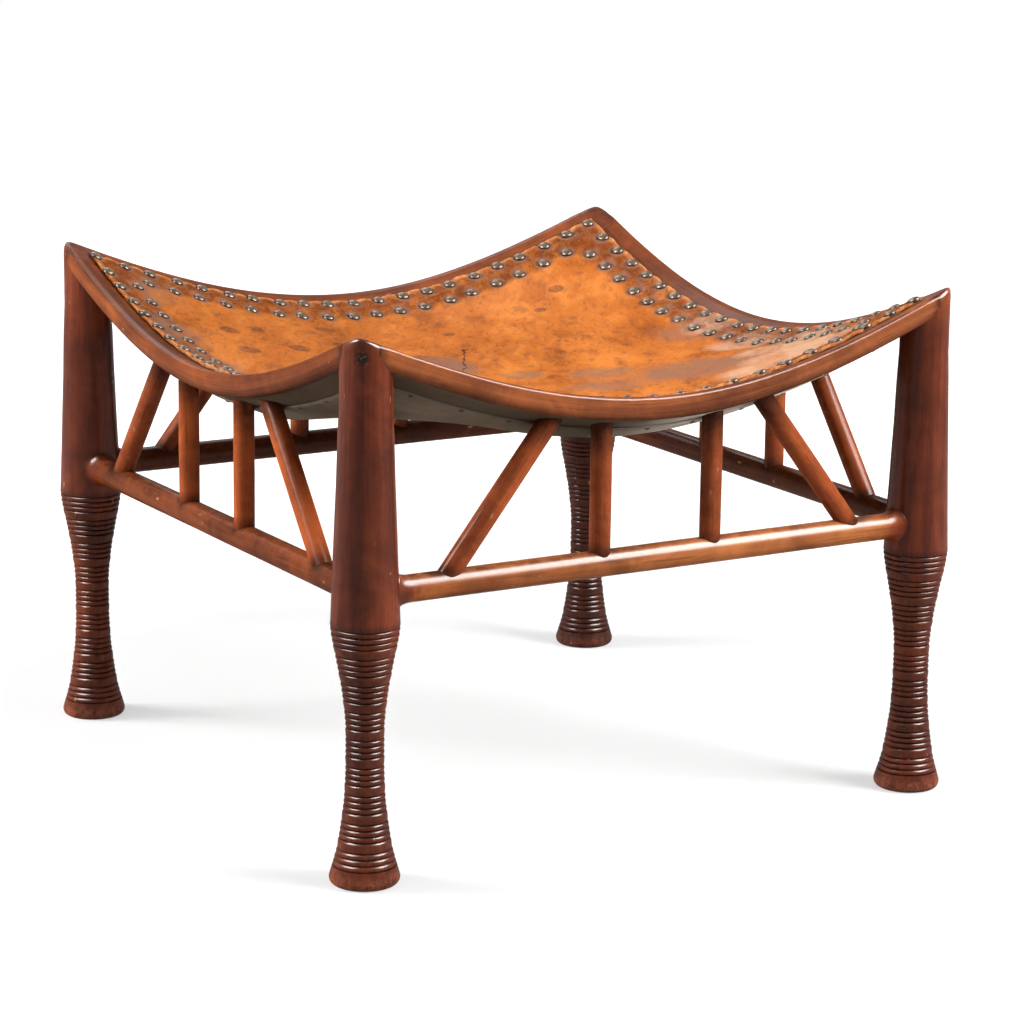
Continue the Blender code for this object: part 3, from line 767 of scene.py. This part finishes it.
def make_spindle(index, side, kind, hand, foot_offset, head_offset):
    """One upright spindle or leaning brace, let into the stretcher and the rail."""
    sign = -1 if hand == "left" else 1
    foot = Vector((sign * foot_offset, -leg_axis, stretcher_height + 0.0010))
    head = Vector((sign * head_offset, -leg_axis, rim_height(head_offset) - 0.0105))
    length = (head - foot).length
    outline = [(0, 0), (spindle_radius, 0)]
    outline += [(spindle_radius + 0.00012 * math.sin(k / 20 * math.pi), length * k / 20)
                for k in range(1, 20)]
    outline += [(spindle_radius, length), (0, length)]
    bm = turned(outline, 32)
    values = layers_for(bm, ("grime_and_shade", "worn", "other_tone"))
    grain = grain_layer(bm)
    paler = side == "left" and (kind, hand) != ("brace", "left")
    seed = index * 4 + (0 if kind == "spindle" else 2) + (sign + 1) / 2
    bury = 0.0075 if kind == "spindle" else 0.0095
    for vert in bm.verts:
        x, y, z = vert.co
        vert[grain] = Vector((x, y, z)) + Vector((0.19, 0.43, 0.61)) * (seed + 1)
        # Darker where let into the stretcher; painted shade towards the top end, under the rail.
        vert[values["grime_and_shade"]] = max(0.8 * softly(bury + 0.0040, bury, z),
                                    0.90 * softly(0.034, 0.008, length - z))
        vert[values["worn"]] = 0.08
        vert[values["other_tone"]] = 0.9 if paler else 0.0
    turn = Vector((0, 0, 1)).rotation_difference(head - foot).to_matrix().to_4x4()
    bm.transform(turn_about(index) @ Matrix.Translation(foot) @ turn)
    name = side + "_" + kind + "_" + hand
    return finished("round_" + name, bm, spindle_wood, 50, [name])


# Nails

def rows_of_nails():
    """Places of the nails on the front side, as (along, row distance from the middle)."""
    outer = [(-outer_row + (2 * outer_row) * k / outer_nails, outer_row) for k in range(outer_nails)]
    inner = [(-inner_row_reach + (2 * inner_row_reach) * (k + 0.5) / inner_nails, inner_row)
             for k in range(inner_nails)]
    return outer, inner


def nail_places():
    """Every nail as its place seen from above, with small errors of the hand."""
    hand = random.Random(11)
    places = []
    for row, points in zip(("outer", "inner"), rows_of_nails()):
        for index in range(4):
            for along, offset in points:
                along += hand.uniform(-0.0010, 0.0010)
                offset += hand.uniform(-0.0007, 0.0007)
                spot = turn_about(index) @ Vector((along, -offset, 0))
                places.append((row, spot.x, spot.y))
    return places


def leather_height(x, y):
    """Upper side of the leather, before its creases and dimples."""
    above = leather_gap + leather_thickness
    if max(abs(x), abs(y)) >= opening_edge:
        return top_height(x, y) + above
    crossed = rim_height(x) + rim_height(y) - rim_height(opening_edge)
    lift = leather_lift * (1 - (x / opening_edge) ** 2) * (1 - (y / opening_edge) ** 2)
    return crossed + lift - top_drop + above


def leather_normal(x, y):
    """The way the leather faces at a place."""
    step = 0.002
    slope_x = (leather_height(x + step, y) - leather_height(x - step, y)) / (2 * step)
    slope_y = (leather_height(x, y + step) - leather_height(x, y - step)) / (2 * step)
    return Vector((-slope_x, -slope_y, 1)).normalized()


def make_nails(places):
    """The domed nails of each row as one piece."""
    hand = random.Random(5)
    outline = [(0.0, -0.0012), (nail_radius * 0.96, -0.0012), (nail_radius, 0.0)]
    outline += [(nail_radius * share, nail_dome * math.sqrt(1 - share ** 2.2))
                for share in (0.95, 0.84, 0.66, 0.42, 0.18)]
    outline += [(0.0, nail_dome)]
    pieces = []
    for row in ("outer", "inner"):
        bm = bmesh.new()
        for name, x, y in places:
            if name != row:
                continue
            nail = turned(outline, 12)
            size = hand.uniform(0.94, 1.05)
            tilt = Vector((hand.uniform(-0.07, 0.07), hand.uniform(-0.07, 0.07), 1)).normalized()
            facing = (leather_normal(x, y) + 0.9 * (tilt - Vector((0, 0, 1)))).normalized()
            turn = Vector((0, 0, 1)).rotation_difference(facing).to_matrix().to_4x4()
            worn = nail.verts.layers.float.new("worn")
            for vert in nail.verts:
                vert[worn] = softly(0.3, 0.9, vert.co.z / nail_dome)
            nail.transform(Matrix.Translation((x, y, leather_height(x, y) - 0.0003)) @ turn
                           @ Matrix.Diagonal((size, size, size * hand.uniform(0.9, 1.1), 1)))
            gather(bm, nail)
        pieces.append(finished("domed_nails_" + row, bm, nail_metal, 60))
    return pieces


# Leather and lining

crease_setback = 0.0300

# Patches and spots of the hide as (x, y, radius, strength)
# The first table is painted sheen on the right slope of the seat.
painted_sheen_patches = ((0.138, -0.150, 0.050, 1.0), (0.098, -0.160, 0.034, 0.8), (0.160, -0.100, 0.042, 0.9),
                (0.168, -0.040, 0.036, 0.7), (0.186, 0.020, 0.026, 0.6), (0.186, -0.120, 0.030, 0.7))
rubbed_patches = ((-0.028, 0.030, 0.046, 1.0), (-0.062, 0.012, 0.030, 1.0), (0.012, -0.020, 0.022, 0.8),
                  (0.098, -0.098, 0.062, 0.9), (0.055, -0.048, 0.036, 0.7), (0.030, -0.095, 0.040, 0.7),
                  (0.165, 0.020, 0.040, 0.6), (-0.165, 0.165, 0.030, 0.6), (-0.180, 0.100, 0.030, 0.7),
                  (-0.180, 0.040, 0.030, 0.6), (-0.180, -0.030, 0.034, 0.7), (0.172, -0.080, 0.040, 0.5),
                  (-0.150, -0.100, 0.045, 0.5))
dark_spots = ((0.081, 0.181, 0.009, 1.0), (0.108, 0.178, 0.008, 1.0), (0.135, 0.142, 0.007, 1.0),
              (0.108, 0.119, 0.006, 1.0), (-0.096, 0.088, 0.010, 1.0), (-0.050, 0.142, 0.009, 1.0),
              (-0.060, 0.100, 0.008, 1.0), (-0.133, 0.118, 0.009, 1.0), (-0.138, 0.078, 0.010, 1.0),
              (-0.108, 0.128, 0.007, 1.0), (0.030, 0.110, 0.006, 1.0), (-0.020, 0.060, 0.007, 1.0),
              (0.072, 0.030, 0.005, 1.0))


def patch_share(x, y, patches, core):
    """How strongly round patches show at a place: fully within their core, and fading outwards."""
    return max(strength * softly(radius, radius * core, math.hypot(x - a, y - b))
               for a, b, radius, strength in patches)


def make_leather(places):
    """The hide, with a ragged cut edge and a dimple round every nail."""
    cells = 204
    bm = bmesh.new()
    bmesh.ops.create_grid(bm, x_segments=cells, y_segments=cells, size=1)
    # Nails by square, so that each place looks only at those near it
    near = {}
    square = 0.02
    for _, x, y in places:
        key = (round(x / square), round(y / square))
        for i in (-1, 0, 1):
            for j in (-1, 0, 1):
                near.setdefault((key[0] + i, key[1] + j), []).append((x, y))
    values = layers_for(bm, ("band", "worn", "cut_edge", "stain", "painted_sheen"))
    for vert in bm.verts:
        u, v = vert.co.x, vert.co.y
        x, y = u * leather_edge, v * leather_edge
        rim = max(abs(u), abs(v))
        if rim > 0.975:
            push = ripple((x, y, 0), 0.007, 0.0009, 4.0) + ripple((x, y, 0), 0.030, 0.0008, 9.0)
            grow = softly(0.975, 1.0, rim)
            x += math.copysign(grow * push, x) if abs(u) >= abs(v) else 0.0
            y += math.copysign(grow * push, y) if abs(v) >= abs(u) else 0.0
        nearby = near.get((round(x / square), round(y / square)), [])
        distance = min([math.hypot(x - a, y - b) for a, b in nearby], default=1.0)
        setback = rail_outer - max(abs(x), abs(y))
        dimple = 0.0006 * softly(0.0085, 0.0045, distance)
        puff = (0.0009 * softly(0.005, 0.012, distance) * softly(0.0175, 0.020, setback)
                * softly(0.041, 0.037, setback))
        lifted = 0.0002 * softly(0.0205, 0.0175, setback) * softly(0.005, 0.010, distance)
        z = leather_height(x, y) - dimple + puff * (0.6 + 2 * ripple((x, y, 0), 0.012, 0.5)) + lifted
        z += ripple((x, y, 0), 0.016, 0.00035, 2.0) + ripple((x, y, 0), 0.006, 0.00012, 3.0)
        vert.co = (x, y, z)
        vert[values["band"]] = softly(0.0178, 0.0205, setback) * softly(0.0430, 0.0370, setback)
        rubbed = patch_share(x, y, rubbed_patches, 0.35)
        crease = softly(0.0026, 0.0, abs(setback - crease_setback))
        vert.co.z += 0.0004 * crease
        vert[values["worn"]] = min(1.0, 0.85 * softly(0.0085, 0.0050, distance) + 0.4 * crease + rubbed)
        # Painted sheen, from the first table of patches
        vert[values["painted_sheen"]] = patch_share(x, y, painted_sheen_patches, 0.35)
        vert[values["stain"]] = patch_share(x, y, dark_spots, 0.55)
        vert[values["cut_edge"]] = softly(0.0200, 0.0182, setback)
    bmesh.ops.solidify(bm, geom=bm.faces[:], thickness=leather_thickness)
    return finished("nailed_leather_seat", bm, hide, 70, ["seat_leather"])


def lining_height(x, y):
    """Upper side of the lining: under the rails, then hung between them."""
    setback = rail_outer - max(abs(x), abs(y))
    if setback <= rail_width:
        return rim_height(min(abs(x), abs(y))) - between(under_knots, setback) - lining_gap
    crossed = rim_height(x) + rim_height(y) - rim_height(opening_edge)
    lift = lining_lift * (1 - (x / opening_edge) ** 2) * (1 - (y / opening_edge) ** 2)
    return crossed + lift - under_drop - lining_gap


def make_lining():
    """The canvas lining, with its corners cut off round the legs."""
    bm = bmesh.new()
    bmesh.ops.create_grid(bm, x_segments=110, y_segments=110, size=lining_edge)
    for turn in range(4):
        way = turn_about(turn) @ Vector((1, -1, 0)).normalized()
        corner = way * (math.hypot(leg_axis, leg_axis) - lining_corner)
        bmesh.ops.bisect_plane(bm, geom=bm.verts[:] + bm.edges[:] + bm.faces[:], plane_co=corner,
                               plane_no=way, clear_outer=True)
    for vert in bm.verts:
        x, y = vert.co.x, vert.co.y
        sag = ripple((x, y, 0), 0.07, 0.0008, 5.0) * softly(0.20, 0.16, max(abs(x), abs(y)))
        vert.co.z = lining_height(x, y) + sag
    bmesh.ops.solidify(bm, geom=bm.faces[:], thickness=lining_thickness)
    return finished("canvas_lining", bm, canvas, 70, ["seat_lining"])


def make_tacks():
    """Small tacks that hold the lining under the rails."""
    hand = random.Random(3)
    whole = bmesh.new()
    slope = math.atan2(under_drop - face_height, rail_width - nose_setback)
    for index in range(4):
        for k in range(11):
            along = (k - 5) * tack_spacing + hand.uniform(-0.002, 0.002)
            tack = turned(tack_outline, 10)
            worn = tack.verts.layers.float.new("worn")
            for vert in tack.verts:
                vert[worn] = 0.3
            lean = math.atan((rim_height(along + 0.001) - rim_height(along - 0.001)) / 0.002)
            turn = Matrix.Rotation(-lean, 4, "Y") @ Matrix.Rotation(-slope, 4, "X")
            place = Vector((along, -tack_row, lining_height(along, -tack_row) - 0.0013))
            tack.transform(turn_about(index) @ Matrix.Translation(place) @ turn)
            gather(whole, tack)
    return finished("lining_tacks", whole, tack_metal, 60)


# Floor and light

floor_radius = 2.8
room_light = 0.09
lamp_distance = 2.2
lamp_aim = Vector((0, 0, 0.18))


def add_floor():
    """A plain white floor that glows less near the stool, so that it keeps the shadow."""
    s = Shade("white_floor")
    s.put(s.shader, "Base Color", (0.34, 0.34, 0.34, 1))
    s.put(s.shader, "Roughness", 0.9)
    s.put(s.shader, "Specular IOR Level", 0.1)
    path = s.node("ShaderNodeLightPath")
    seen = s.maths("ADD", path.outputs["Is Camera Ray"], path.outputs["Is Glossy Ray"])
    seen = s.maths("ADD", seen, path.outputs["Is Transmission Ray"], clamp=True)
    whiter = s.node("ShaderNodeMapRange", Value=s.vectors("LENGTH", s.place()))
    for key, value in (("From Min", 0.38), ("From Max", 1.00), ("To Min", 0.50), ("To Max", 1.0)):
        s.put(whiter, key, value)
    glow = s.node("ShaderNodeEmission", Color=(1, 1, 1, 1), Strength=whiter.outputs["Result"])
    lit = s.node("ShaderNodeAddShader")
    s.put(lit, "0", s.shader.outputs["BSDF"])
    s.put(lit, "1", glow.outputs["Emission"])
    mix = s.node("ShaderNodeMixShader")
    s.put(mix, "0", seen)
    s.put(mix, "1", s.shader.outputs["BSDF"])
    s.put(mix, "2", lit.outputs["Shader"])
    s.tree.links.new(mix.outputs["Shader"], s.tree.nodes["Material Output"].inputs["Surface"])
    bm = bmesh.new()
    bmesh.ops.create_circle(bm, cap_ends=True, segments=96, radius=floor_radius)
    mesh = bpy.data.meshes.new("floor")
    bm.to_mesh(mesh)
    bm.free()
    mesh.materials.append(s.material)
    floor = bpy.data.objects.new("floor", mesh)
    bpy.context.scene.collection.objects.link(floor)


def add_lamp(name, azimuth, elevation, size, power, shines):
    """A soft lamp, aimed at the stool, that shines only in the colour or only in the gloss."""
    a, e = math.radians(azimuth), math.radians(elevation)
    way = Vector((math.sin(a) * math.cos(e), -math.cos(a) * math.cos(e), math.sin(e)))
    data = bpy.data.lights.new(name, "AREA")
    data.shape = "RECTANGLE"
    data.size, data.size_y = size
    data.energy = power
    lamp = bpy.data.objects.new(name, data)
    lamp.location = lamp_aim + way * lamp_distance
    lamp.rotation_mode = "QUATERNION"
    lamp.rotation_quaternion = (-way).to_track_quat("-Z", "Y")
    lamp.visible_diffuse = shines != "gloss"
    lamp.visible_glossy = shines != "colour"
    bpy.context.scene.collection.objects.link(lamp)


def light_the_stool():
    """Soft boxes at both sides, a weak one between them, three reflections and a whitish room."""
    add_lamp("left_box", -123, 18, (1.0, 0.7), 90, "colour")
    add_lamp("right_box", 42, 28, (1.0, 0.8), 86, "colour")
    add_lamp("fill_box", -72, 24, (1.2, 0.9), 9, "colour")
    add_lamp("left_sheen", -101, 46, (1.3, 1.35), 550, "gloss")
    add_lamp("right_sheen", 50, 44, (1.5, 1.35), 660, "gloss")
    add_lamp("back_sheen", 173, 38, (1.4, 1.0), 34, "gloss")
    world = bpy.data.worlds.new("room")
    world.use_nodes = True
    nodes, links = world.node_tree.nodes, world.node_tree.links
    path = nodes.new("ShaderNodeLightPath")
    # The room looks white, but adds little light
    seen = path.outputs["Is Camera Ray"]
    for kind in ("Is Glossy Ray", "Is Transmission Ray"):
        either = nodes.new("ShaderNodeMath")
        either.operation = "MAXIMUM"
        links.new(seen, either.inputs[0])
        links.new(path.outputs[kind], either.inputs[1])
        seen = either.outputs["Value"]
    level = nodes.new("ShaderNodeMapRange")
    level.inputs["To Min"].default_value = room_light
    level.inputs["To Max"].default_value = 1.0
    links.new(seen, level.inputs["Value"])
    back = nodes["Background"]
    back.inputs["Color"].default_value = (1, 1, 1, 1)
    links.new(level.outputs["Result"], back.inputs["Strength"])
    bpy.context.scene.world = world


add_camera()
for number, corner_name in enumerate(corners):
    make_leg(number, corner_name)
for number, side_name in enumerate(sides):
    make_rail(number, side_name)
    make_stretcher(number, side_name)
    for hand_name in ("left", "right"):
        make_spindle(number, side_name, "spindle", hand_name, spindle_offset, spindle_offset)
        make_spindle(number, side_name, "brace", hand_name, brace_foot, brace_head)
nail_spots = nail_places()
nail_rows = make_nails(nail_spots)
seat = make_leather(nail_spots)
lining = make_lining()
tacks = make_tacks()
add_floor()
light_the_stool()
bpy.context.scene.view_settings.view_transform = "Standard"
